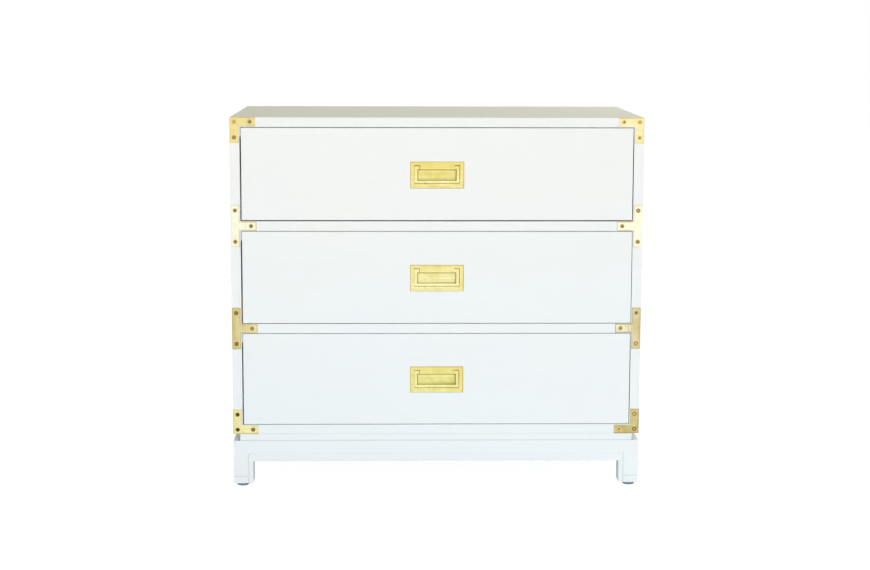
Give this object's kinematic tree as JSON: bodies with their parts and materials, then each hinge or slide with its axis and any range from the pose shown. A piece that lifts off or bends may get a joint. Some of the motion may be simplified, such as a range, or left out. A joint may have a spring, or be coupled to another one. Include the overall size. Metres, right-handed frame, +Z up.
{
  "type": "campaign chest",
  "caption": "White campaign chest with full-width drawers, recessed brass pulls and flush brass corner brackets, on a low moulded stand.",
  "frame": {"origin": "on the floor under the middle of the chest, at the centre of its footprint", "axes": "+Z up; the drawers face -Y and open towards it; +X along the chest's width, to the right of someone who faces the drawers"},
  "size_m": [0.813, 0.457, 0.74],
  "materials": {
    "white_lacquer": "satin lacquer",
    "pale_hardwood": "sanded and sealed",
    "birch_plywood": "sanded and sealed",
    "brushed_brass": "brushed",
    "screw_brass": "turned, dulled",
    "glide_plastic": "moulded"
  },
  "bodies": {
    "case": {"top_panel": "white_lacquer", "bottom_panel": "white_lacquer", "side_panel_left": "white_lacquer", "side_panel_right": "white_lacquer", "back_panel": "birch_plywood", "divider_rail_lower": "white_lacquer", "divider_rail_upper": "white_lacquer", "rear_rails": "pale_hardwood", "guides_bottom": "pale_hardwood", "runners_middle": "pale_hardwood", "runners_top": "pale_hardwood", "kickers_bottom": "pale_hardwood", "kickers_middle": "pale_hardwood", "kickers_top": "pale_hardwood", "bracket_corner_top_left": "brushed_brass", "bracket_corner_top_right": "brushed_brass", "bracket_corner_bottom_left": "brushed_brass", "bracket_corner_bottom_right": "brushed_brass", "bracket_tee_upper_left": "brushed_brass", "bracket_tee_upper_right": "brushed_brass", "bracket_tee_lower_left": "brushed_brass", "bracket_tee_lower_right": "brushed_brass", "bracket_screws": "screw_brass", "plinth_front": "white_lacquer", "plinth_rear": "white_lacquer", "plinth_ends": "white_lacquer", "apron_front": "white_lacquer", "apron_rear": "white_lacquer", "apron_left": "white_lacquer", "apron_right": "white_lacquer", "leg_front_left": "white_lacquer", "leg_front_right": "white_lacquer", "leg_rear_left": "white_lacquer", "leg_rear_right": "white_lacquer", "corner_blocks": "pale_hardwood", "foot_glides": "glide_plastic"},
    "drawer_bottom": {"drawer_front_bottom": "white_lacquer", "drawer_side_left_bottom": "pale_hardwood", "drawer_side_right_bottom": "pale_hardwood", "drawer_back_bottom": "pale_hardwood", "drawer_bottom_bottom": "birch_plywood", "pull_plate_bottom": "brushed_brass", "hinge_pins_bottom": "screw_brass"},
    "bail_bottom": {"pull_bail_bottom": "brushed_brass"},
    "drawer_middle": {"drawer_front_middle": "white_lacquer", "drawer_side_left_middle": "pale_hardwood", "drawer_side_right_middle": "pale_hardwood", "drawer_back_middle": "pale_hardwood", "drawer_bottom_middle": "birch_plywood", "pull_plate_middle": "brushed_brass", "hinge_pins_middle": "screw_brass"},
    "bail_middle": {"pull_bail_middle": "brushed_brass"},
    "drawer_top": {"drawer_front_top": "white_lacquer", "drawer_side_left_top": "pale_hardwood", "drawer_side_right_top": "pale_hardwood", "drawer_back_top": "pale_hardwood", "drawer_bottom_top": "birch_plywood", "pull_plate_top": "brushed_brass", "hinge_pins_top": "screw_brass"},
    "bail_top": {"pull_bail_top": "brushed_brass"}
  },
  "joints": [
    {"name": "drawer_bottom_slide", "type": "slide", "parent": "case", "child": "drawer_bottom", "axis": [0, -1, 0], "range_m": [0, 0.33]},
    {"name": "bail_bottom_hinge", "type": "hinge", "parent": "drawer_bottom", "child": "bail_bottom", "pos_m": [0, -0.2265, 0.2331], "axis": [-1, 0, 0], "range_deg": [0, 90]},
    {"name": "drawer_middle_slide", "type": "slide", "parent": "case", "child": "drawer_middle", "axis": [0, -1, 0], "range_m": [0, 0.33]},
    {"name": "bail_middle_hinge", "type": "hinge", "parent": "drawer_middle", "child": "bail_middle", "pos_m": [0, -0.2265, 0.4376], "axis": [-1, 0, 0], "range_deg": [0, 90]},
    {"name": "drawer_top_slide", "type": "slide", "parent": "case", "child": "drawer_top", "axis": [0, -1, 0], "range_m": [0, 0.33]},
    {"name": "bail_top_hinge", "type": "hinge", "parent": "drawer_top", "child": "bail_top", "pos_m": [0, -0.2265, 0.6421], "axis": [-1, 0, 0], "range_deg": [0, 90]}
  ]
}
